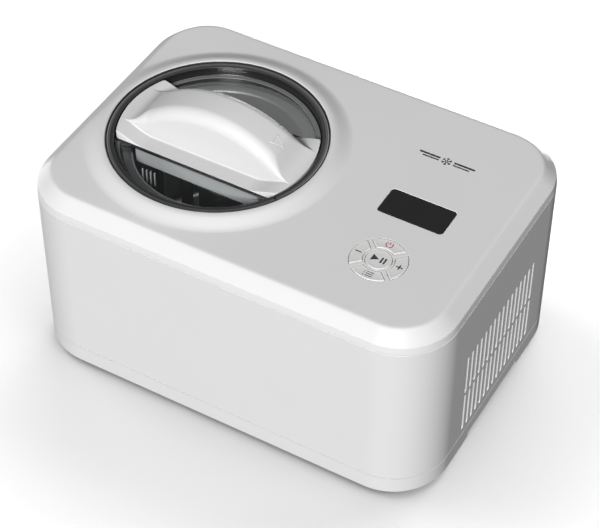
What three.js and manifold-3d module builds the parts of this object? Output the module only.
// Compressor ice cream maker: a low white cabinet with the bowl under a clear twist-off lid on the left,
// display and buttons on the right, and the drive, the cooling circuit and the electronics inside.
// Millimetres, +Z up, front towards -Y. Origin: on the worktop under the middle of the cabinet.
import * as THREE from "three";
import { mergeVertices } from "three/addons/utils/BufferGeometryUtils.js";
import Module from "manifold-3d";

const wasm = await Module();
wasm.setup();

// ---- driving dimensions -------------------------------------------------------------------------
const HALF_LENGTH = 193;
const HALF_DEPTH = 137.5;
const CORNER_RADIUS = 52;
const CABINET_BOTTOM = 5; // the feet lift the cabinet this far
const TOP = 191.4; // the flat top
const WALL = 2.6;
const SEAM_GAP = 0.5;
const LOW_SEAM = 22; // between base plate and body shell
const HIGH_SEAM = 173.6; // between body shell and top cover
const FLOOR_THICKNESS = 3.5;
const FLOOR_TOP = CABINET_BOTTOM + FLOOR_THICKNESS;
const TOP_THICKNESS = 3;
const LIP_HEIGHT = 6; // locating lips inside the seams
const LIP_THICKNESS = 1.4;
const CLEARANCE = 0.3; // between neighbours that touch on the real object
const MARGIN = 1; // how far a cutting tool reaches past what it cuts
const LIP_INSET = WALL + CLEARANCE;
const RIM_INSET = LIP_INSET + LIP_THICKNESS; // base and cover are this thick along the seams

const CHAMFER_DROP = 10.5;
const CHAMFER_INSET = 11.2;
const BAND_INSET = 1; // the side band under the chamfer leans in by this much

const LID_X = -74.5;
const LID_Y = -4.5;
const COLLAR_FOOT_RADIUS = 112;
const COLLAR_LAND_RADIUS = 99.5;
const WELL_RADIUS = 94.6;
const COLLAR_HEIGHT = 5.5;
const COLLAR_BEND = { out: 5, share: 0.4 }; // where the collar's slope turns flatter
const WELL_WALL = 2.4;
const WELL_BOTTOM = TOP - 14;
const SEAT = { inner: 76, wall: 3.9, bottom: TOP - 16, shelf: TOP - 12, top: TOP + 1 };

const FLANGE_RADIUS = 93.5;
const LID_BORE_RADIUS = 87.5; // inside of the lid's low wall
const LID_WALL = 2.2;
const LID_RISE = 4; // flange top above the flat top
const LID_FLOOR = -4; // window floor below the flat top
const LID_SHEET = 2.5;
const LID_EDGE = 0.8;
const LID_NOTCH = { degrees: -28, halfWidth: 0.7, depth: 1.2 };
const SEAL = { inner: 80, crest: 84, outer: 88.6, low: TOP - 9.7, high: TOP - 6.8 };

const BRIDGE_HALF_WIDTH = 38.3;
const BRIDGE_END_RADIUS = 86.2;
const BRIDGE_WALL = 2.5;
const BRIDGE_FIT = 0.5; // gap around the bridge in the window
const LEDGE_HALF_LENGTH = 63;
const PLATEAU_START = 77.5;
const HUMP_RADIUS = 98;
const HUMP_RISE = 38;
const HUMP_HALF_WIDTH = 23.6;
const HUMP_TAPER = 0.139; // sideways lean of the hump's faces
const HUMP_ROUNDING = 4.5;
const SKIRT_HALF_LENGTH = 60;
const SKIRT_DEPTH = 22;
const HOOK = { halfLength: 50, reach: 1.8 }; // snaps the bridge into the window
const ARROW = { x: 58, halfLength: 5, halfWidth: 6.2, rise: 0.5 };
const LINER_THICKNESS = 1.6;

const BOWL_RADIUS = 74;
const BOWL_WALL = 1.8;
const BOWL_FLANGE_RADIUS = 88.5;
const BOWL_FLANGE_TOP = TOP - 10;
const BOWL_BOTTOM = 63.4;
const HUB_RADIUS = 14;
const HUB_TOP = 105;
const HUB_BORE = 8;
const BOWL_CORNER = 6;
const PADDLE_GAP = 2.5; // from the scraping edges to the bowl's wall
const PADDLE_FLOOR_GAP = 2;
const PADDLE_TOP_GAP = 4;
const PADDLE_HALF_THICKNESS = 2;
const PADDLE_BARS = { bottom: 10, side: 9, top: 14 };
const STIRRER = { near: 30, far: 38, halfThickness: 1.6 };
const PADDLE_HUB = { radius: 19, topRadius: 12, rise: 6, wall: 1.2, stem: 5 };

const CANISTER_RADIUS = 75.5;
const CANISTER_WALL = 2;
const CANISTER_BOTTOM = 59.5;
const CANISTER_RIM = TOP - 16.5;
const CANISTER_RIM_RADIUS = 86;
const CANISTER_CORNER = 4;
const CANISTER_BORE = 10;
const COIL_RADIUS = 83;
const COIL_TUBE = 3;
const COIL_TURNS = 5;
const COIL_LOW = 72;
const COIL_HIGH = 162;
const JACKET_INNER = 88;
const JACKET_OUTER = 111;
const JACKET_BOTTOM = 53;
const JACKET_TOP = 172;
const JACKET_BORE = 12;
const PIPE_CHANNEL = { halfWidth: 12, low: 62 };
const POST = { circle: 95, radius: 6, topRadius: 4 }; // carry the jacket

const SHAFT_RADIUS = 6;
const HEX_RADIUS = 4.6;
const SHAFT_BOTTOM = 31;
const HEX_START = 107;
const SHAFT_TOP = 117;
const BUSH = { radius: 9.6, low: 47, rise: 3 };
const GEAR_MODULE = 1.5;
const GEAR_TEETH = 48;
const PINION_TEETH = 12;
const GEAR_BACKLASH = 0.25;
const GEAR_LOW = 34;
const GEAR_HIGH = 42;
const PITCH_RADIUS = (GEAR_MODULE * GEAR_TEETH) / 2;
const PINION_PITCH_RADIUS = (GEAR_MODULE * PINION_TEETH) / 2;
const PINION_X = LID_X + PITCH_RADIUS + PINION_PITCH_RADIUS + GEAR_BACKLASH;
const GEARBOX_LOW = 28.5;
const GEARBOX_SPLIT = 44;
const GEARBOX_HIGH = 51;
const GEARBOX_WALL = 2.5;
const GEARBOX_FLOOR = 2;
const GEAR_BOSS = { radius: 11, rise: 3 };
const LEG = { radius: 5, reach: 30 };
const MOTOR_RADIUS = 27;
const MOTOR_TOP = 26;
const MOTOR_NOSE_RADIUS = 8;
const MOTOR_SHAFT = { radius: 2.5, bore: 3, low: 20, boreLow: 18 };

const DISPLAY = { x: 111, y: 0.5, halfX: 29.45, halfY: 14.7, radius: 3, thickness: 2.3 };
const DISPLAY_BOSS = { margin: 4, depth: 6, rim: 2.5 };
const PANEL = { x: [84, 138], y: [-12, 13], z: [TOP - 11.8, TOP - 6.4] };
const BOARD = { x: [76, 144], y: [-94, 20], z: [TOP - 13.7, TOP - 12.1] };
const PAD = { radius: 25, low: TOP - 11.8, high: TOP - 10.9 };
const DOME = { circle: 18, radius: 4, topRadius: 3, top: TOP - 10 };
const BUTTON_X = 110;
const BUTTON_Y = -63.5;
const BUTTON_RING_OUTER = 23.8;
const BUTTON_RING_INNER = 13.2;
const BUTTON_DISC_RADIUS = 10.9;
const BUTTON_WEB = 0.95; // half the width of the webs between the ring's buttons
const BUTTON_RISE = 0.5;
const BUTTON_DEPTH = 8;
const BUTTON_GAP = 0.35;

const SLOT_COUNT = 16;
const SLOT_PITCH = 8.2;
const SLOT_WIDTH = 4.2;
const SLOT_ROWS = [
  [30, 73],
  [76, 119],
];
const NOTCH_HALF_WIDTH = 47;
const NOTCH_HEIGHT = 5;

const FAN_Y = -4;
const FAN_Z = 75;
const FAN_RADIUS = 40;
const FAN_BLADES = 7;
const SHROUD_HALF = 47;
const SHROUD_BACK = 130;
const SHROUD_FRONT = 158;
const CONDENSER_BACK = 162;
const CONDENSER_FRONT = 184;
const COMPRESSOR_X = 90;
const COMPRESSOR_Y = 78;
const COMPRESSOR_RADIUS = 48;
const COMPRESSOR_LOW = 22;
const COMPRESSOR_HIGH = 140;
const COMPRESSOR_SEAM = { low: 78, high: 82, out: 1.5 };
const COMPRESSOR_BASE = { radius: 30, rise: 14 };
const COMPRESSOR_DOME = { radius: 40, topRadius: 24, shoulder: 18, rise: 12 };
const BRACKET = { half: 48, corner: 10, low: 18.6, high: 21.4, holeRadius: 3.5, holeReach: 40 };
const MOUNT = { radius: 8, high: 18.2, pinRadius: 3, pinHigh: 24 };
const RELAY = { left: 26, gap: 2.2, y: [62, 94], z: [50, 95] };
const FIN_COUNT = 9;
const FIN_HALF = 0.6;
const CONDENSER_TUBE = { radius: 3.5, overhang: 3 };
const SHROUD_ARM = { thickness: 3, halfWidth: 2.5, hub: 15 };
const FAN_MOTOR = { radius: 14, length: 11 };
const FAN_HUB = { radius: 16, noseRadius: 13, length: 11, nose: 12 };
const FAN_START = SHROUD_BACK + 14.8;
const FAN_BLADE = { halfThickness: 0.8, halfLength: 9, degrees: 58 };
const DRIER = { x: 62, y: -40, low: 30, high: 100, radius: 9, neck: 5, taper: 8 };
const DISCHARGE_RADIUS = 2.5;
const SUCTION_RADIUS = 3;
const LIQUID_RADIUS = 1.6;
const POWER_BOARD = { x: [50, 140], y: [-128, -84], z: [14, 15.6], inset: 6, legRadius: 3 };
const CAPACITOR = { x: 120, y: -112, radius: 9, high: 42 };
const HEAT_SINK = { x: [58, 62], y: [-118, -92], high: 40 };
const TRANSFORMER = { x: [72, 104], y: [-118, -92], high: 42 };

const FOOT_X = 148;
const FOOT_Y = 96;
const FOOT_RADIUS = 11;
const FOOT_EDGE = 1.5;
const FOOT_HEIGHT = 4.7;
const SCREW_X = 162;
const SCREW_Y = 78;
const SCREW_HEAD = { radius: 4.6, low: CABINET_BOTTOM + 0.4, high: CABINET_BOTTOM + 2.2 };
const SCREW_SLOT = { halfWidth: 0.5, halfLength: 4, top: CABINET_BOTTOM + 1.2 };
const SCREW_SHANK_RADIUS = 1.9;
const SCREW_HOLE_RADIUS = 2.3;
const SCREW_RECESS = { radius: 5, top: CABINET_BOTTOM + 2.5 };
const GLAND_X = 120;
const GLAND_Z = 40;
const GLAND = { hole: 8, bore: 4, neck: 7.6, flange: 10.5, flangeThickness: 3.5, length: 14.6, sunk: 0.2 };

const CORNER_STEPS = 4; // each quarter turn gets twice as many segments
const ROUND_STEPS = 48;
const POT_STEPS = 36;
const SMALL_STEPS = 12;
const FINE_STEPS = 24;
const MERGE_STEP = 1e-4;
const FULL_TURN = 2 * Math.PI;
const QUARTER_TURN = Math.PI / 2;
const SIDES = [-1, 1];

// ---- finishes -----------------------------------------------------------------------------------
const finish = (color, roughness, metalness = 0, extra = {}) =>
  new THREE.MeshStandardMaterial({ color, roughness, metalness, ...extra });
const WHITE_SHELL = finish(0xe9e9ea, 0.35);
const WHITE_SATIN = finish(0xdcdcdd, 0.4);
const CLEAR = finish(0xdfe3e4, 0.08, 0, { transparent: true, opacity: 0.3 });
const BLACK_PLASTIC = finish(0x17181a, 0.45);
const DISPLAY_BLACK = finish(0x1c1d1f, 0.15);
const SILICONE = finish(0x5a5b5d, 0.7);
const RUBBER = finish(0x1b1b1b, 0.85);
const ALUMINIUM = finish(0xb9bdc0, 0.35, 0.9);
const STEEL = finish(0xa7abae, 0.3, 1);
const COPPER = finish(0xb46a3c, 0.35, 1);
const FOAM = finish(0xd9cf9a, 0.9);
const COMPRESSOR_BLACK = finish(0x202124, 0.5, 0.3);
const CIRCUIT_GREEN = finish(0x1f5b3a, 0.6);
const PADDLE_GREY = finish(0x2b2c2e, 0.5);
const GEAR_NYLON = finish(0xefe9d8, 0.55);

// ---- solids -------------------------------------------------------------------------------------
// A closed geometry as a solid that can be joined and cut.
function solid(geometry) {
  const bare = geometry.clone();
  bare.deleteAttribute("normal");
  bare.deleteAttribute("uv");
  const merged = mergeVertices(bare, MERGE_STEP);
  return new wasm.Manifold(
    new wasm.Mesh({
      numProp: 3,
      vertProperties: merged.attributes.position.array,
      triVerts: new Uint32Array(merged.index.array),
    }),
  );
}

function geometryOf(made) {
  const mesh = made.getMesh();
  const geometry = new THREE.BufferGeometry();
  geometry.setAttribute("position", new THREE.BufferAttribute(mesh.vertProperties, 3));
  geometry.setIndex(new THREE.BufferAttribute(mesh.triVerts, 1));
  const flat = geometry.toNonIndexed();
  flat.computeVertexNormals();
  return flat;
}

const join = (...solids) => solids.reduce((whole, next) => whole.add(next));
const cut = (whole, ...tools) => tools.reduce((rest, tool) => rest.subtract(tool), whole);

// Upright prism over a flat outline.
function prism(shape, low, high) {
  const geometry = new THREE.ExtrudeGeometry(shape, { depth: high - low, bevelEnabled: false });
  return solid(geometry.translate(0, 0, low));
}

// Prism whose upper edge leans in by inset over the last drop of its height.
function bevelledPrism(shape, low, high, drop, inset) {
  const geometry = new THREE.ExtrudeGeometry(shape, {
    depth: high - low,
    bevelThickness: drop,
    bevelSize: inset,
    bevelOffset: -inset,
    bevelSegments: 1,
  });
  geometry.translate(0, 0, low - drop);
  const whole = solid(geometry);
  const wide = [-2 * HALF_LENGTH, 2 * HALF_LENGTH];
  return whole.subtract(block(wide, wide, [low - 3 * drop, low]));
}

function block([x0, x1], [y0, y1], [z0, z1]) {
  const geometry = new THREE.BoxGeometry(x1 - x0, y1 - y0, z1 - z0);
  return solid(geometry.translate((x0 + x1) / 2, (y0 + y1) / 2, (z0 + z1) / 2));
}

function rod(radius, low, high, x = 0, y = 0, steps = SMALL_STEPS, topRadius = radius) {
  const geometry = new THREE.CylinderGeometry(topRadius, radius, high - low, steps);
  return solid(geometry.rotateX(Math.PI / 2).translate(x, y, (low + high) / 2));
}

// Solid of revolution about an upright axis; the profile is a list of [radius, height], anticlockwise.
function turned(profile, x = 0, y = 0, steps = ROUND_STEPS) {
  const points = [...profile, profile[0]].map(([radius, height]) => new THREE.Vector2(radius, height));
  return solid(new THREE.LatheGeometry(points, steps).rotateX(Math.PI / 2).translate(x, y, 0));
}

// The same about an axis along +X.
function turnedAlongX(profile, x, y, z, steps = SMALL_STEPS) {
  const points = [...profile, profile[0]].map(([radius, height]) => new THREE.Vector2(radius, height));
  return solid(new THREE.LatheGeometry(points, steps).rotateZ(-Math.PI / 2).translate(x, y, z));
}

function rodAlongX(radius, length, x, steps) {
  return turnedAlongX([[0, 0], [radius, 0], [radius, length], [0, length]], x, FAN_Y, FAN_Z, steps);
}

// Tube along a smooth curve through points.
function tube(points, radius, steps, sides = 6) {
  const path = new THREE.CatmullRomCurve3(points.map(([x, y, z]) => new THREE.Vector3(x, y, z)));
  return solid(new THREE.ExtrudeGeometry(disc(radius, sides), { steps, extrudePath: path }));
}

// ---- flat outlines ------------------------------------------------------------------------------
function disc(radius, steps, x = 0, y = 0) {
  return new THREE.Shape(new THREE.Path().absarc(x, y, radius, 0, FULL_TURN).getPoints(steps / 2));
}

function roundedRectangle(halfX, halfY, radius, x = 0, y = 0, steps = CORNER_STEPS) {
  const path = new THREE.Path();
  path.absarc(x + halfX - radius, y + halfY - radius, radius, 0, Math.PI / 2);
  path.absarc(x - halfX + radius, y + halfY - radius, radius, Math.PI / 2, Math.PI);
  path.absarc(x - halfX + radius, y - halfY + radius, radius, Math.PI, 1.5 * Math.PI);
  path.absarc(x + halfX - radius, y - halfY + radius, radius, 1.5 * Math.PI, FULL_TURN);
  return new THREE.Shape(path.getPoints(steps));
}

// The cabinet's plan, moved in by inset.
function plan(inset) {
  return roundedRectangle(HALF_LENGTH - inset, HALF_DEPTH - inset, CORNER_RADIUS - inset);
}

// Upright ring that follows the cabinet's plan between two insets.
function planRing(outerInset, innerInset, low, high) {
  return cut(prism(plan(outerInset), low, high), prism(plan(innerInset), low - 1, high + 1));
}

// One of the four buttons around the disc: a quarter ring about +X with edges parallel to the diagonals.
function quarterRing(inner, outer, web) {
  const path = new THREE.Path();
  const outerHalf = Math.PI / 4 - Math.asin(web / outer);
  const innerHalf = Math.PI / 4 - Math.asin(web / inner);
  path.absarc(0, 0, outer, -outerHalf, outerHalf);
  path.absarc(0, 0, inner, innerHalf, -innerHalf, true);
  return new THREE.Shape(path.getPoints(6));
}

// Plan of a spur gear with straight-flanked teeth, one tooth pointing to +X after turn.
function gearOutline(teeth, turn) {
  const pitch = (GEAR_MODULE * teeth) / 2;
  const root = pitch - 1.2 * GEAR_MODULE;
  const tip = pitch + 0.85 * GEAR_MODULE;
  const step = FULL_TURN / teeth;
  const toothHalves = [
    [root, 0.31],
    [tip, 0.11],
  ];
  const points = [];
  for (let tooth = 0; tooth < teeth; tooth += 1) {
    const middle = turn + tooth * step;
    const left = toothHalves.map(([radius, half]) => [radius, middle - half * step]);
    const right = toothHalves.map(([radius, half]) => [radius, middle + half * step]).reverse();
    for (const [radius, angle] of [...left, ...right]) {
      points.push(new THREE.Vector2(radius * Math.cos(angle), radius * Math.sin(angle)));
    }
  }
  return new THREE.Shape(points);
}

// ---- cabinet ------------------------------------------------------------------------------------
// A row of upright slots with round ends, cutting through a side wall.
function slotRow([low, high], side) {
  const half = SLOT_WIDTH / 2;
  const path = new THREE.Path();
  path.absarc(0, high - half, half, 0, Math.PI);
  path.absarc(0, low + half, half, Math.PI, FULL_TURN);
  const outline = new THREE.Shape(path.getPoints(1));
  const slots = [];
  for (let index = 0; index < SLOT_COUNT; index += 1) {
    const y = (index - (SLOT_COUNT - 1) / 2) * SLOT_PITCH;
    const geometry = new THREE.ExtrudeGeometry(outline, { depth: 4 * WALL, bevelEnabled: false });
    geometry.rotateX(Math.PI / 2).rotateZ(Math.PI / 2);
    slots.push(solid(geometry.translate(side * HALF_LENGTH - 2 * WALL, y, 0)));
  }
  return slots;
}

function bodyShell() {
  const wall = planRing(0, WALL, LOW_SEAM + SEAM_GAP, HIGH_SEAM);
  const slots = SIDES.flatMap((side) => SLOT_ROWS.flatMap((row) => slotRow(row, side)));
  const glandHole = rod(GLAND.hole, -2 * WALL, 2 * WALL)
    .rotate([90, 0, 0])
    .translate([GLAND_X, HALF_DEPTH, GLAND_Z]);
  return cut(wall, ...slots, glandHole);
}

function cordGland() {
  const wall = WALL + SEAM_GAP;
  const profile = [
    [GLAND.bore, 0],
    [GLAND.neck, 0],
    [GLAND.neck, wall],
    [GLAND.flange, wall],
    [GLAND.flange, wall + GLAND.flangeThickness],
    [GLAND.neck, GLAND.length],
    [GLAND.bore, GLAND.length],
  ];
  return turned(profile, 0, 0, SMALL_STEPS)
    .rotate([90, 0, 0])
    .translate([GLAND_X, HALF_DEPTH - GLAND.sunk, GLAND_Z]);
}

function basePlate() {
  const body = prism(plan(0), CABINET_BOTTOM, LOW_SEAM);
  const lip = prism(plan(LIP_INSET), LOW_SEAM - MARGIN, LOW_SEAM + LIP_HEIGHT);
  const tray = cut(join(body, lip), prism(plan(RIM_INSET), FLOOR_TOP, HIGH_SEAM));
  const notch = block(
    [HALF_LENGTH - 3 * WALL, HALF_LENGTH + MARGIN],
    [-NOTCH_HALF_WIDTH, NOTCH_HALF_WIDTH],
    [CABINET_BOTTOM - MARGIN, CABINET_BOTTOM + NOTCH_HEIGHT],
  );
  const notchRoof = block(
    [HALF_LENGTH - 4 * WALL, HALF_LENGTH - WALL],
    [-NOTCH_HALF_WIDTH - WALL, NOTCH_HALF_WIDTH + WALL],
    [FLOOR_TOP - MARGIN, CABINET_BOTTOM + NOTCH_HEIGHT + WALL],
  );
  const posts = [];
  for (let quarter = 0; quarter < 4; quarter += 1) {
    const angle = (quarter + 0.5) * QUARTER_TURN;
    const x = LID_X + POST.circle * Math.cos(angle);
    const y = LID_Y + POST.circle * Math.sin(angle);
    const high = JACKET_BOTTOM - CLEARANCE;
    posts.push(rod(POST.radius, FLOOR_TOP - MARGIN, high, x, y, SMALL_STEPS, POST.topRadius));
  }
  const holes = screwPlaces().map(([x, y]) => rod(SCREW_HOLE_RADIUS, 0, LOW_SEAM, x, y));
  const recesses = screwPlaces().map(([x, y]) => rod(SCREW_RECESS.radius, 0, SCREW_RECESS.top, x, y));
  return cut(join(tray, notchRoof, ...posts), notch, ...holes, ...recesses);
}

function screwPlaces() {
  return SIDES.flatMap((sideY) => SIDES.map((sideX) => [sideX * SCREW_X, sideY * SCREW_Y]));
}

function baseScrew() {
  const head = rod(SCREW_HEAD.radius, SCREW_HEAD.low, SCREW_HEAD.high);
  const slot = block(
    [-SCREW_SLOT.halfWidth, SCREW_SLOT.halfWidth],
    [-SCREW_SLOT.halfLength, SCREW_SLOT.halfLength],
    [CABINET_BOTTOM, SCREW_SLOT.top],
  );
  const shank = rod(SCREW_SHANK_RADIUS, SCREW_HEAD.high - CLEARANCE, LOW_SEAM - 2);
  return join(cut(head, slot), shank);
}

function foot() {
  const profile = [
    [0, 0],
    [FOOT_RADIUS - FOOT_EDGE, 0],
    [FOOT_RADIUS, FOOT_EDGE],
    [FOOT_RADIUS, FOOT_HEIGHT],
    [0, FOOT_HEIGHT],
  ];
  return turned(profile, 0, 0, 16);
}

// The top cover's outer form: side band, chamfer and flat top.
function coverForm() {
  const low = HIGH_SEAM + SEAM_GAP;
  const chamferEdge = TOP - CHAMFER_DROP;
  return join(
    bevelledPrism(plan(0), low, chamferEdge, chamferEdge - low, BAND_INSET),
    bevelledPrism(plan(BAND_INSET), chamferEdge - TOP_THICKNESS, TOP, CHAMFER_DROP, CHAMFER_INSET),
  );
}

// The chamfer's planes carried on upwards, so that the collar never stands outside them.
function raisedChamfer() {
  const drop = CHAMFER_DROP + COLLAR_HEIGHT;
  const inset = (CHAMFER_INSET * drop) / CHAMFER_DROP;
  return bevelledPrism(plan(BAND_INSET), TOP - CHAMFER_DROP - MARGIN, TOP + COLLAR_HEIGHT, drop, inset);
}

function displayPrism(grow, radius, low, high) {
  const { x, y, halfX, halfY } = DISPLAY;
  return prism(roundedRectangle(halfX + grow, halfY + grow, radius, x, y, 3), low, high);
}

function topCover() {
  const outside = coverForm();
  const lip = prism(plan(LIP_INSET), HIGH_SEAM - LIP_HEIGHT, HIGH_SEAM + 2 * SEAM_GAP);
  const hollow = join(
    prism(plan(RIM_INSET), HIGH_SEAM - 2 * LIP_HEIGHT, TOP - CHAMFER_DROP - 2 * TOP_THICKNESS),
    bevelledPrism(plan(RIM_INSET), HIGH_SEAM, TOP - TOP_THICKNESS, CHAMFER_DROP, CHAMFER_INSET),
  );
  const collarProfile = [
    [WELL_RADIUS - MARGIN, TOP - MARGIN],
    [COLLAR_FOOT_RADIUS, TOP - MARGIN],
    [COLLAR_FOOT_RADIUS, TOP],
    [COLLAR_LAND_RADIUS + COLLAR_BEND.out, TOP + COLLAR_BEND.share * COLLAR_HEIGHT],
    [COLLAR_LAND_RADIUS, TOP + COLLAR_HEIGHT],
    [WELL_RADIUS - MARGIN, TOP + COLLAR_HEIGHT],
  ];
  const collar = turned(collarProfile, LID_X, LID_Y).intersect(raisedChamfer());
  const wellWall = rod(WELL_RADIUS + WELL_WALL, WELL_BOTTOM, TOP, LID_X, LID_Y, ROUND_STEPS);
  const boss = displayPrism(DISPLAY_BOSS.margin, DISPLAY.radius, TOP - DISPLAY_BOSS.depth, TOP - MARGIN);
  const bed = displayPrism(CLEARANCE, DISPLAY.radius, TOP - DISPLAY.thickness - CLEARANCE, TOP + MARGIN);
  const sightLow = TOP - 2 * DISPLAY_BOSS.depth;
  const sight = displayPrism(-DISPLAY_BOSS.rim, DISPLAY.radius / 3, sightLow, TOP + MARGIN);
  const well = rod(WELL_RADIUS, WELL_BOTTOM - MARGIN, TOP + 2 * COLLAR_HEIGHT, LID_X, LID_Y, ROUND_STEPS);
  const shell = join(cut(join(outside, lip), hollow), collar, wellWall, boss);
  return cut(shell, well, bed, sight, ...buttonHoles());
}

// ---- lid seat -----------------------------------------------------------------------------------
function wellRing() {
  const outer = WELL_RADIUS - CLEARANCE;
  const profile = [
    [SEAT.inner, SEAT.bottom],
    [outer, SEAT.bottom],
    [outer, SEAT.top],
    [outer - SEAT.wall, SEAT.top],
    [outer - SEAT.wall, SEAT.shelf],
    [SEAT.inner, SEAT.shelf],
  ];
  return turned(profile, LID_X, LID_Y);
}

// ---- display and buttons ------------------------------------------------------------------------
function displayWindow() {
  return displayPrism(0, DISPLAY.radius, TOP - DISPLAY.thickness, TOP);
}

function displayPanel() {
  return block(PANEL.x, PANEL.y, PANEL.z);
}

function controlBoard() {
  return block(BOARD.x, BOARD.y, BOARD.z);
}

function buttonPad() {
  const sheet = rod(PAD.radius, PAD.low, PAD.high, BUTTON_X, BUTTON_Y, FINE_STEPS);
  const dome = (x, y) =>
    rod(DOME.radius, PAD.high - CLEARANCE, DOME.top, BUTTON_X + x, BUTTON_Y + y, SMALL_STEPS, DOME.topRadius);
  const around = [0, 1, 2, 3].map((quarter) => {
    const angle = quarter * QUARTER_TURN;
    return dome(DOME.circle * Math.cos(angle), DOME.circle * Math.sin(angle));
  });
  return join(sheet, dome(0, 0), ...around);
}

function ringButton(quarter, grow) {
  const shape = quarterRing(BUTTON_RING_INNER - grow, BUTTON_RING_OUTER + grow, BUTTON_WEB - grow);
  return prism(shape, TOP - BUTTON_DEPTH, TOP + BUTTON_RISE)
    .rotate([0, 0, 90 * quarter])
    .translate([BUTTON_X, BUTTON_Y, 0]);
}

function discButton(grow) {
  return rod(BUTTON_DISC_RADIUS + grow, TOP - BUTTON_DEPTH, TOP + BUTTON_RISE, BUTTON_X, BUTTON_Y, 32);
}

function buttonHoles() {
  return [...[0, 1, 2, 3].map((quarter) => ringButton(quarter, BUTTON_GAP)), discButton(BUTTON_GAP)];
}

// ---- lid ----------------------------------------------------------------------------------------
// Straight-sided bridge outline with round ends, about the lid's centre.
function bridgeOutline(halfWidth, endRadius) {
  const half = Math.asin(halfWidth / endRadius);
  const path = new THREE.Path();
  path.absarc(0, 0, endRadius, -half, half);
  path.absarc(0, 0, endRadius, Math.PI - half, Math.PI + half);
  return new THREE.Shape(path.getPoints(5));
}

function lidWindow() {
  const top = TOP + LID_RISE;
  const floor = TOP + LID_FLOOR;
  const outerWall = LID_BORE_RADIUS + LID_WALL;
  const dish = turned([
    [0, floor - LID_SHEET],
    [outerWall, floor - LID_SHEET],
    [outerWall, top - LID_SHEET],
    [FLANGE_RADIUS, top - LID_SHEET],
    [FLANGE_RADIUS, top - LID_EDGE],
    [FLANGE_RADIUS - LID_EDGE, top],
    [LID_BORE_RADIUS, top],
    [LID_BORE_RADIUS, floor],
    [0, floor],
  ]);
  const slot = prism(
    bridgeOutline(BRIDGE_HALF_WIDTH + BRIDGE_FIT, BRIDGE_END_RADIUS + BRIDGE_FIT),
    floor - 2 * LID_SHEET,
    floor + MARGIN,
  );
  const notch = block(
    [LID_BORE_RADIUS - MARGIN, FLANGE_RADIUS + MARGIN],
    [-LID_NOTCH.halfWidth, LID_NOTCH.halfWidth],
    [top - LID_NOTCH.depth, top + MARGIN],
  );
  return cut(dish, slot, notch.rotate([0, 0, LID_NOTCH.degrees])).translate([LID_X, LID_Y, 0]);
}

// Side view of the bridge's flat part: ledge, ramps up to the end plateaus.
function ledgeSide(drop, low) {
  const ledge = TOP + LID_FLOOR - drop;
  const plateau = TOP + LID_RISE - drop;
  const points = [
    [-BRIDGE_END_RADIUS - 1, low],
    [BRIDGE_END_RADIUS + 1, low],
    [BRIDGE_END_RADIUS + 1, plateau],
    [PLATEAU_START, plateau],
    [LEDGE_HALF_LENGTH, ledge],
    [-LEDGE_HALF_LENGTH, ledge],
    [-PLATEAU_START, plateau],
    [-BRIDGE_END_RADIUS - 1, plateau],
  ];
  return new THREE.Shape(points.map(([x, z]) => new THREE.Vector2(x, z)));
}

// Prism along Y over an outline drawn in X and Z.
function crossPrism(shape, halfWidth) {
  const geometry = new THREE.ExtrudeGeometry(shape, { depth: 2 * halfWidth, bevelEnabled: false });
  return solid(geometry.rotateX(Math.PI / 2).translate(0, halfWidth, 0));
}

// The hump of the bridge: an arched bar with rounded upper edges and faces that lean in.
function hump(shrink) {
  const radius = HUMP_RADIUS - shrink;
  const low = TOP + LID_FLOOR - LID_SHEET;
  const centre = TOP + HUMP_RISE - HUMP_RADIUS;
  const half = Math.acos((low - centre) / radius);
  const end = radius * Math.sin(half);
  const path = new THREE.Path();
  path.absarc(0, centre, radius, Math.PI / 2 - half, Math.PI / 2 + half);
  const foot = low - 4 * HUMP_ROUNDING;
  const outline = [...path.getPoints(9), new THREE.Vector2(-end, foot), new THREE.Vector2(end, foot)];
  const straight = HUMP_HALF_WIDTH - shrink - HUMP_ROUNDING;
  const geometry = new THREE.ExtrudeGeometry(new THREE.Shape(outline), {
    depth: 2 * straight,
    bevelThickness: HUMP_ROUNDING,
    bevelSize: HUMP_ROUNDING,
    bevelOffset: -HUMP_ROUNDING,
    bevelSegments: 2,
  });
  geometry.rotateX(Math.PI / 2).translate(0, straight, 0);
  const position = geometry.attributes.position;
  for (let index = 0; index < position.count; index += 1) {
    const rise = position.getZ(index) - low;
    const lean = 1 - (HUMP_TAPER * rise) / HUMP_HALF_WIDTH;
    position.setY(index, position.getY(index) * lean);
  }
  const below = block([-2 * end, 2 * end], [-2 * end, 2 * end], [foot - HUMP_ROUNDING, low]);
  return solid(geometry).subtract(below);
}

function lidHandle() {
  const under = TOP + LID_FLOOR - LID_SHEET;
  const bottom = TOP - SKIRT_DEPTH;
  const bridge = crossPrism(ledgeSide(0, under), BRIDGE_HALF_WIDTH + MARGIN).intersect(
    prism(bridgeOutline(BRIDGE_HALF_WIDTH, BRIDGE_END_RADIUS), under, TOP + HUMP_RISE),
  );
  const skirt = prism(
    roundedRectangle(SKIRT_HALF_LENGTH, BRIDGE_HALF_WIDTH, 2, 0, 0, 1),
    bottom,
    under + MARGIN,
  );
  const hookReach = BRIDGE_HALF_WIDTH + HOOK.reach;
  const hook = block(
    [-HOOK.halfLength, HOOK.halfLength],
    [-hookReach, hookReach],
    [under - HOOK.reach, under - CLEARANCE],
  );
  const inside = BRIDGE_HALF_WIDTH - BRIDGE_WALL;
  const skirtHollow = prism(
    roundedRectangle(SKIRT_HALF_LENGTH - BRIDGE_WALL, inside, 1, 0, 0, 1),
    bottom - MARGIN,
    TOP + LID_FLOOR - BRIDGE_WALL,
  );
  const whole = cut(join(bridge, skirt, hook, hump(0)), skirtHollow, hump(BRIDGE_WALL + MARGIN));
  return join(whole, arrowMark()).translate([LID_X, LID_Y, 0]);
}

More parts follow.
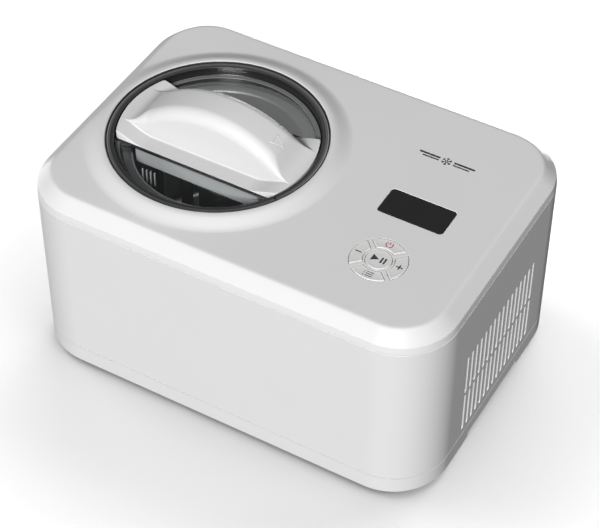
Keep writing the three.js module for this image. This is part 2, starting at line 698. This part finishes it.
// Raised triangle near the right-hand end of the hump, pointing at the lock marks.
function arrowMark() {
  const slope = Math.asin(ARROW.x / HUMP_RADIUS);
  const centre = TOP + HUMP_RISE - HUMP_RADIUS;
  const shape = new THREE.Shape([
    new THREE.Vector2(-ARROW.halfLength, -ARROW.halfWidth),
    new THREE.Vector2(ARROW.halfLength, 0),
    new THREE.Vector2(-ARROW.halfLength, ARROW.halfWidth),
  ]);
  return prism(shape, -MARGIN, ARROW.rise)
    .rotate([0, THREE.MathUtils.radToDeg(slope), 0])
    .translate([ARROW.x, 0, centre + HUMP_RADIUS * Math.cos(slope)]);
}

function handleLiner() {
  const bottom = TOP - SKIRT_DEPTH;
  const margin = BRIDGE_WALL + CLEARANCE;
  const halfLength = SKIRT_HALF_LENGTH - margin;
  const outline = roundedRectangle(halfLength, BRIDGE_HALF_WIDTH - margin, 1, LID_X, LID_Y, 1);
  return prism(outline, bottom, bottom + LINER_THICKNESS);
}

function lidSeal() {
  const profile = [
    [SEAL.inner, SEAL.low],
    [SEAL.outer, SEAL.low],
    [SEAL.outer, SEAL.high],
    [SEAL.crest, SEAL.high],
  ];
  return turned(profile, LID_X, LID_Y);
}

// ---- bowl and paddle ----------------------------------------------------------------------------
function bowl() {
  const inner = BOWL_RADIUS - BOWL_WALL;
  const floor = BOWL_BOTTOM + BOWL_WALL;
  const innerCorner = BOWL_CORNER - 1;
  const profile = [
    [HUB_BORE, BOWL_BOTTOM],
    [BOWL_RADIUS - BOWL_CORNER, BOWL_BOTTOM],
    [BOWL_RADIUS, BOWL_BOTTOM + BOWL_CORNER],
    [BOWL_RADIUS, BOWL_FLANGE_TOP - BOWL_WALL],
    [BOWL_FLANGE_RADIUS, BOWL_FLANGE_TOP - BOWL_WALL],
    [BOWL_FLANGE_RADIUS, BOWL_FLANGE_TOP],
    [inner, BOWL_FLANGE_TOP],
    [inner, floor + innerCorner],
    [inner - innerCorner, floor],
    [HUB_RADIUS, floor],
    [HUB_RADIUS - 2, HUB_TOP],
    [HUB_BORE, HUB_TOP],
  ];
  return turned(profile, LID_X, LID_Y, POT_STEPS);
}

// A flat frame whose sides and bottom scrape the bowl, with two stirring bars and a socket for the drive.
function mixingPaddle() {
  const low = BOWL_BOTTOM + BOWL_WALL + PADDLE_FLOOR_GAP;
  const high = TOP - SKIRT_DEPTH - PADDLE_TOP_GAP;
  const reach = BOWL_RADIUS - BOWL_WALL - PADDLE_GAP;
  const barLow = low + PADDLE_BARS.bottom / 2;
  const thickness = [-PADDLE_HALF_THICKNESS, PADDLE_HALF_THICKNESS];
  const stirrer = [-STIRRER.halfThickness, STIRRER.halfThickness];
  const bottomReach = reach - PADDLE_TOP_GAP;
  const frame = [
    block([-bottomReach, bottomReach], thickness, [low, low + PADDLE_BARS.bottom]),
    block([-reach, PADDLE_BARS.side - reach], thickness, [barLow, high]),
    block([reach - PADDLE_BARS.side, reach], thickness, [barLow, high]),
    block([-reach, reach], thickness, [high - PADDLE_BARS.top, high]),
    block([-STIRRER.far, -STIRRER.near], stirrer, [barLow, high - PADDLE_BARS.top / 2]),
    block([STIRRER.near, STIRRER.far], stirrer, [barLow, high - PADDLE_BARS.top / 2]),
    rod(PADDLE_HUB.radius, low, SHAFT_TOP + PADDLE_HUB.rise, 0, 0, FINE_STEPS, PADDLE_HUB.topRadius),
    rod(PADDLE_HUB.stem, SHAFT_TOP, high - PADDLE_BARS.top / 2),
  ];
  const socketLow = HUB_RADIUS + PADDLE_HUB.wall;
  const hubSocket = rod(socketLow, low - MARGIN, HEX_START + MARGIN, 0, 0, FINE_STEPS, socketLow - 2);
  const hexSocket = rod(HEX_RADIUS + 2 * CLEARANCE, HUB_TOP, SHAFT_TOP + PADDLE_HUB.wall, 0, 0, 6);
  return cut(join(...frame), hubSocket, hexSocket).translate([LID_X, LID_Y, 0]);
}

// ---- drive --------------------------------------------------------------------------------------
function driveShaft() {
  return join(
    rod(SHAFT_RADIUS, SHAFT_BOTTOM, HEX_START, LID_X, LID_Y, FINE_STEPS),
    rod(HEX_RADIUS, HEX_START - MARGIN, SHAFT_TOP, LID_X, LID_Y, 6),
  );
}

function driveGear() {
  const blank = prism(gearOutline(GEAR_TEETH, 0), GEAR_LOW, GEAR_HIGH);
  const boss = rod(GEAR_BOSS.radius, GEAR_LOW, GEAR_HIGH + GEAR_BOSS.rise, 0, 0, FINE_STEPS);
  const bore = rod(SHAFT_RADIUS + CLEARANCE, GEAR_LOW - MARGIN, GEARBOX_HIGH, 0, 0, FINE_STEPS);
  return cut(join(blank, boss), bore).translate([LID_X, LID_Y, 0]);
}

function motorPinion() {
  const halfTooth = Math.PI / PINION_TEETH;
  const gear = prism(gearOutline(PINION_TEETH, Math.PI + halfTooth), GEAR_LOW - MARGIN, GEAR_HIGH + MARGIN);
  const shaft = rod(MOTOR_SHAFT.radius, MOTOR_SHAFT.low, GEAR_HIGH);
  return join(gear, shaft).translate([PINION_X, LID_Y, 0]);
}

// Plan of the gearbox: two round ends joined by straight sides.
function gearboxOutline(wall) {
  const big = PITCH_RADIUS + 4 + wall;
  const small = PINION_PITCH_RADIUS + 5 + wall;
  const reach = PINION_X - LID_X;
  const lean = Math.acos((big - small) / reach);
  const path = new THREE.Path();
  path.absarc(0, 0, big, lean, FULL_TURN - lean);
  path.absarc(reach, 0, small, -lean, lean);
  return new THREE.Shape(path.getPoints(12));
}

function gearboxBase() {
  const outside = prism(gearboxOutline(GEARBOX_WALL), GEARBOX_LOW, GEARBOX_SPLIT);
  const inside = prism(gearboxOutline(0), GEARBOX_LOW + GEARBOX_FLOOR, GEARBOX_SPLIT + MARGIN);
  const pinionHole = rod(2 * GEARBOX_FLOOR, 0, GEARBOX_SPLIT, PINION_X - LID_X);
  const legs = [
    [-LEG.reach, 0],
    [0, LEG.reach],
    [0, -LEG.reach],
  ].map(([x, y]) => rod(LEG.radius, FLOOR_TOP + CLEARANCE, GEARBOX_LOW + MARGIN, x, y));
  return cut(join(outside, ...legs), inside, pinionHole).translate([LID_X, LID_Y, 0]);
}

function gearboxCover() {
  const low = GEARBOX_SPLIT + CLEARANCE;
  const outside = prism(gearboxOutline(GEARBOX_WALL), low, GEARBOX_HIGH);
  const inside = prism(gearboxOutline(0), low - MARGIN, GEARBOX_HIGH - GEARBOX_FLOOR);
  const shaftHole = rod(BUSH.radius + CLEARANCE, low, GEARBOX_HIGH + MARGIN, 0, 0, FINE_STEPS);
  return cut(outside, inside, shaftHole).translate([LID_X, LID_Y, 0]);
}

function shaftBush() {
  const high = CANISTER_BOTTOM + BUSH.rise;
  const profile = [
    [SHAFT_RADIUS + CLEARANCE, BUSH.low],
    [BUSH.radius, BUSH.low],
    [BUSH.radius, high],
    [SHAFT_RADIUS + CLEARANCE, high],
  ];
  return turned(profile, LID_X, LID_Y, FINE_STEPS);
}

function driveMotor() {
  const can = rod(MOTOR_RADIUS, FLOOR_TOP + CLEARANCE, MOTOR_TOP, 0, 0, 32);
  const nose = rod(MOTOR_NOSE_RADIUS, MOTOR_TOP - MARGIN, GEARBOX_LOW - CLEARANCE, 0, 0, 16);
  const bore = rod(MOTOR_SHAFT.bore, MOTOR_SHAFT.boreLow, GEARBOX_LOW);
  return cut(join(can, nose), bore).translate([PINION_X, LID_Y, 0]);
}

// ---- cooling ------------------------------------------------------------------------------------
function canister() {
  const outer = CANISTER_RADIUS + CANISTER_WALL;
  const floor = CANISTER_BOTTOM + CANISTER_WALL;
  const innerCorner = CANISTER_CORNER - 1;
  const profile = [
    [CANISTER_BORE, CANISTER_BOTTOM],
    [outer - CANISTER_CORNER, CANISTER_BOTTOM],
    [outer, CANISTER_BOTTOM + CANISTER_CORNER],
    [outer, CANISTER_RIM - CANISTER_WALL],
    [CANISTER_RIM_RADIUS, CANISTER_RIM - CANISTER_WALL],
    [CANISTER_RIM_RADIUS, CANISTER_RIM],
    [CANISTER_RADIUS, CANISTER_RIM],
    [CANISTER_RADIUS, floor + innerCorner],
    [CANISTER_RADIUS - innerCorner, floor],
    [CANISTER_BORE, floor],
  ];
  return turned(profile, LID_X, LID_Y, POT_STEPS);
}

class Helix extends THREE.Curve {
  getPoint(t, target = new THREE.Vector3()) {
    const angle = COIL_TURNS * FULL_TURN * t;
    const height = COIL_LOW + (COIL_HIGH - COIL_LOW) * t;
    return target.set(LID_X + COIL_RADIUS * Math.cos(angle), LID_Y + COIL_RADIUS * Math.sin(angle), height);
  }
}

function evaporatorCoil() {
  const steps = 14 * COIL_TURNS;
  return solid(new THREE.ExtrudeGeometry(disc(COIL_TUBE, 6), { steps, extrudePath: new Helix() }));
}

function insulationJacket() {
  const floor = CANISTER_BOTTOM - CLEARANCE;
  const profile = [
    [JACKET_BORE, JACKET_BOTTOM],
    [JACKET_OUTER, JACKET_BOTTOM],
    [JACKET_OUTER, JACKET_TOP],
    [JACKET_INNER, JACKET_TOP],
    [JACKET_INNER, floor],
    [JACKET_BORE, floor],
  ];
  const pipeChannel = block(
    [LID_X + COIL_RADIUS - COIL_TUBE, LID_X + JACKET_OUTER + MARGIN],
    [LID_Y - PIPE_CHANNEL.halfWidth, LID_Y + PIPE_CHANNEL.halfWidth],
    [PIPE_CHANNEL.low, JACKET_TOP + MARGIN],
  );
  return cut(turned(profile, LID_X, LID_Y, POT_STEPS), pipeChannel);
}

function compressor() {
  const shoulder = COMPRESSOR_HIGH - COMPRESSOR_DOME.shoulder;
  const seamRadius = COMPRESSOR_RADIUS + COMPRESSOR_SEAM.out;
  const profile = [
    [0, COMPRESSOR_LOW],
    [COMPRESSOR_BASE.radius, COMPRESSOR_LOW],
    [COMPRESSOR_RADIUS, COMPRESSOR_LOW + COMPRESSOR_BASE.rise],
    [COMPRESSOR_RADIUS, COMPRESSOR_SEAM.low],
    [seamRadius, COMPRESSOR_SEAM.low],
    [seamRadius, COMPRESSOR_SEAM.high],
    [COMPRESSOR_RADIUS, COMPRESSOR_SEAM.high],
    [COMPRESSOR_RADIUS, shoulder],
    [COMPRESSOR_DOME.radius, shoulder + COMPRESSOR_DOME.rise],
    [COMPRESSOR_DOME.topRadius, COMPRESSOR_HIGH],
    [0, COMPRESSOR_HIGH],
  ];
  return turned(profile, COMPRESSOR_X, COMPRESSOR_Y, 32);
}

function compressorCorners() {
  const reach = BRACKET.holeReach;
  return SIDES.flatMap((sideX) =>
    SIDES.map((sideY) => [COMPRESSOR_X + reach * sideX, COMPRESSOR_Y + reach * sideY]),
  );
}

function compressorBracket() {
  const { half, corner } = BRACKET;
  const outline = roundedRectangle(half, half, corner, COMPRESSOR_X, COMPRESSOR_Y, 2);
  const holes = compressorCorners().map(([x, y]) => rod(BRACKET.holeRadius, 0, COMPRESSOR_LOW, x, y));
  return cut(prism(outline, BRACKET.low, BRACKET.high), ...holes);
}

function compressorMount() {
  const pad = rod(MOUNT.radius, FLOOR_TOP + CLEARANCE, MOUNT.high, 0, 0, 16);
  return join(pad, rod(MOUNT.pinRadius, MOUNT.high - MARGIN, MOUNT.pinHigh));
}

function startRelay() {
  return block([RELAY.left, COMPRESSOR_X - COMPRESSOR_RADIUS - RELAY.gap], RELAY.y, RELAY.z);
}

function condenser() {
  const low = FAN_Z - SHROUD_HALF;
  const high = FAN_Z + SHROUD_HALF;
  const reach = SHROUD_HALF - MARGIN;
  const fins = [];
  for (let index = 0; index < FIN_COUNT; index += 1) {
    const y = FAN_Y - reach + (2 * reach * index) / (FIN_COUNT - 1);
    fins.push(block([CONDENSER_BACK, CONDENSER_FRONT], [y - FIN_HALF, y + FIN_HALF], [low, high]));
  }
  const tubeReach = SHROUD_HALF + CONDENSER_TUBE.overhang;
  const tubes = [0.25, 0.75].map((share) =>
    rod(CONDENSER_TUBE.radius, -tubeReach, tubeReach, 0, 0, 6)
      .rotate([90, 0, 0])
      .translate([(CONDENSER_BACK + CONDENSER_FRONT) / 2, FAN_Y, low + share * (high - low)]),
  );
  return join(...fins, ...tubes);
}

function fanShroud() {
  const frame = block(
    [SHROUD_BACK, SHROUD_FRONT],
    [FAN_Y - SHROUD_HALF, FAN_Y + SHROUD_HALF],
    [FAN_Z - SHROUD_HALF, FAN_Z + SHROUD_HALF],
  );
  const ductLength = SHROUD_FRONT - SHROUD_BACK + 2 * MARGIN;
  const duct = rodAlongX(FAN_RADIUS + 2, ductLength, SHROUD_BACK - MARGIN, 40);
  const carrier = rodAlongX(SHROUD_ARM.hub, SHROUD_ARM.thickness, SHROUD_BACK, FINE_STEPS);
  const armWidth = [-SHROUD_ARM.halfWidth, SHROUD_ARM.halfWidth];
  const arms = [0, 120, 240].map((degrees) =>
    block([0, SHROUD_ARM.thickness], [FAN_RADIUS / 4, FAN_RADIUS + 4], armWidth)
      .rotate([degrees, 0, 0])
      .translate([SHROUD_BACK, FAN_Y, FAN_Z]),
  );
  return join(cut(frame, duct), carrier, ...arms);
}

function fanMotor() {
  const start = SHROUD_BACK + SHROUD_ARM.thickness + CLEARANCE;
  return rodAlongX(FAN_MOTOR.radius, FAN_MOTOR.length, start, FINE_STEPS);
}

function fanRotor() {
  const profile = [
    [0, 0],
    [FAN_HUB.radius, 0],
    [FAN_HUB.radius, FAN_HUB.length],
    [FAN_HUB.noseRadius, FAN_HUB.nose],
    [0, FAN_HUB.nose],
  ];
  const hub = turnedAlongX(profile, 0, 0, 0, FINE_STEPS);
  const { halfThickness, halfLength, degrees } = FAN_BLADE;
  const span = [FAN_HUB.radius - 2, FAN_RADIUS - 1];
  const flat = block([-halfThickness, halfThickness], span, [-halfLength, halfLength]);
  const blade = flat.rotate([0, degrees, 0]);
  const blades = [];
  for (let index = 0; index < FAN_BLADES; index += 1) {
    blades.push(blade.translate([FAN_HUB.nose / 2, 0, 0]).rotate([(360 * index) / FAN_BLADES, 0, 0]));
  }
  return join(hub, ...blades).translate([FAN_START, FAN_Y, FAN_Z]);
}

function filterDrier() {
  const { low, high, radius, neck, taper } = DRIER;
  const profile = [
    [0, low],
    [neck, low + taper / 2],
    [radius, low + taper],
    [radius, high - taper],
    [neck, high - taper / 2],
    [0, high],
  ];
  return turned(profile, DRIER.x, DRIER.y, 16);
}

function dischargePipe() {
  return tube(
    [
      [COMPRESSOR_X + 20, COMPRESSOR_Y - 10, COMPRESSOR_HIGH + 0.5],
      [COMPRESSOR_X + 20, COMPRESSOR_Y - 12, COMPRESSOR_HIGH + 12],
      [COMPRESSOR_X + 45, COMPRESSOR_Y - 15, COMPRESSOR_HIGH + 16],
      [160, 62, 140],
      [173, 54, 122],
      [173, 53, 106],
      [173, FAN_Y + SHROUD_HALF + 6, 104],
    ],
    DISCHARGE_RADIUS,
    14,
  );
}

function suctionPipe() {
  return tube(
    [
      [COMPRESSOR_X - 20, COMPRESSOR_Y - 8, COMPRESSOR_HIGH + 0.5],
      [COMPRESSOR_X - 20, COMPRESSOR_Y - 10, COMPRESSOR_HIGH + 12],
      [COMPRESSOR_X - 30, COMPRESSOR_Y - 40, COMPRESSOR_HIGH + 18],
      [56, 14, 160],
      [36, LID_Y + 1, 163],
      [LID_X + COIL_RADIUS + 8, LID_Y, COIL_HIGH + 1],
    ],
    SUCTION_RADIUS,
    12,
  );
}

function liquidPipe() {
  return tube(
    [
      [DRIER.x, DRIER.y, DRIER.low - 0.8],
      [60, -40, 22],
      [52, -34, 20],
      [50, -16, 40],
      [42, -6, 72],
      [LID_X + COIL_RADIUS + 8, LID_Y - 1, COIL_LOW + 1],
    ],
    LIQUID_RADIUS,
    12,
  );
}

// ---- electronics --------------------------------------------------------------------------------
function powerBoard() {
  const board = block(POWER_BOARD.x, POWER_BOARD.y, POWER_BOARD.z);
  const [low, high] = POWER_BOARD.z;
  const legs = POWER_BOARD.x.flatMap((edgeX, sideX) =>
    POWER_BOARD.y.map((edgeY, sideY) => {
      const x = edgeX - SIDES[sideX] * POWER_BOARD.inset;
      const y = edgeY - SIDES[sideY] * POWER_BOARD.inset;
      return rod(POWER_BOARD.legRadius, FLOOR_TOP + CLEARANCE, low + CLEARANCE, x, y, 8);
    }),
  );
  const capacitor = rod(CAPACITOR.radius, low + CLEARANCE, CAPACITOR.high, CAPACITOR.x, CAPACITOR.y, 16);
  const heatSink = block(HEAT_SINK.x, HEAT_SINK.y, [high - CLEARANCE, HEAT_SINK.high]);
  return join(board, ...legs, capacitor, heatSink);
}

function transformer() {
  return block(TRANSFORMER.x, TRANSFORMER.y, [POWER_BOARD.z[1] + CLEARANCE, TRANSFORMER.high]);
}

// ---- assembly -----------------------------------------------------------------------------------
const machine = new THREE.Group();
machine.name = "ice_cream_maker";

function place(name, made, material, x = 0, y = 0, z = 0) {
  const mesh = new THREE.Mesh(geometryOf(made), material);
  mesh.name = name;
  mesh.position.set(x, y, z);
  machine.add(mesh);
}

place("base_plate", basePlate(), WHITE_SHELL);
place("body_shell", bodyShell(), WHITE_SHELL);
place("top_cover", topCover(), WHITE_SHELL);
place("cord_gland", cordGland(), BLACK_PLASTIC);
const corners = [
  ["front_left", -1, -1],
  ["front_right", 1, -1],
  ["rear_left", -1, 1],
  ["rear_right", 1, 1],
];
for (const [corner, sideX, sideY] of corners) {
  place("foot_" + corner, foot(), RUBBER, sideX * FOOT_X, sideY * FOOT_Y);
  place("base_screw_" + corner, baseScrew(), STEEL, sideX * SCREW_X, sideY * SCREW_Y);
}

place("well_ring", wellRing(), BLACK_PLASTIC);
place("display_window", displayWindow(), DISPLAY_BLACK);
place("display_panel", displayPanel(), BLACK_PLASTIC);
place("control_board", controlBoard(), CIRCUIT_GREEN);
place("button_pad", buttonPad(), SILICONE);
["plus", "power", "minus", "menu"].forEach((label, quarter) => {
  place("button_" + label, ringButton(quarter, 0), WHITE_SATIN);
});
place("button_start", discButton(0), WHITE_SATIN);

place("lid_window", lidWindow(), CLEAR);
place("lid_handle", lidHandle(), WHITE_SHELL);
place("handle_liner", handleLiner(), WHITE_SATIN);
place("lid_seal", lidSeal(), SILICONE);

place("bowl", bowl(), ALUMINIUM);
place("mixing_paddle", mixingPaddle(), PADDLE_GREY);

place("drive_shaft", driveShaft(), STEEL);
place("drive_gear", driveGear(), GEAR_NYLON);
place("motor_pinion", motorPinion(), STEEL);
place("gearbox_base", gearboxBase(), BLACK_PLASTIC);
place("gearbox_cover", gearboxCover(), BLACK_PLASTIC);
place("shaft_bush", shaftBush(), GEAR_NYLON);
place("drive_motor", driveMotor(), STEEL);

place("canister", canister(), ALUMINIUM);
place("evaporator_coil", evaporatorCoil(), COPPER);
place("insulation_jacket", insulationJacket(), FOAM);
place("compressor", compressor(), COMPRESSOR_BLACK);
place("compressor_bracket", compressorBracket(), STEEL);
compressorCorners().forEach(([x, y], index) => {
  place("compressor_mount_" + (index + 1), compressorMount(), RUBBER, x, y);
});
place("start_relay", startRelay(), BLACK_PLASTIC);
place("condenser", condenser(), ALUMINIUM);
place("fan_shroud", fanShroud(), BLACK_PLASTIC);
place("fan_motor", fanMotor(), STEEL);
place("fan_rotor", fanRotor(), BLACK_PLASTIC);
place("filter_drier", filterDrier(), COPPER);
place("discharge_pipe", dischargePipe(), COPPER);
place("suction_pipe", suctionPipe(), COPPER);
place("liquid_pipe", liquidPipe(), COPPER);
place("power_board", powerBoard(), CIRCUIT_GREEN);
place("transformer", transformer(), STEEL);

export default machine;
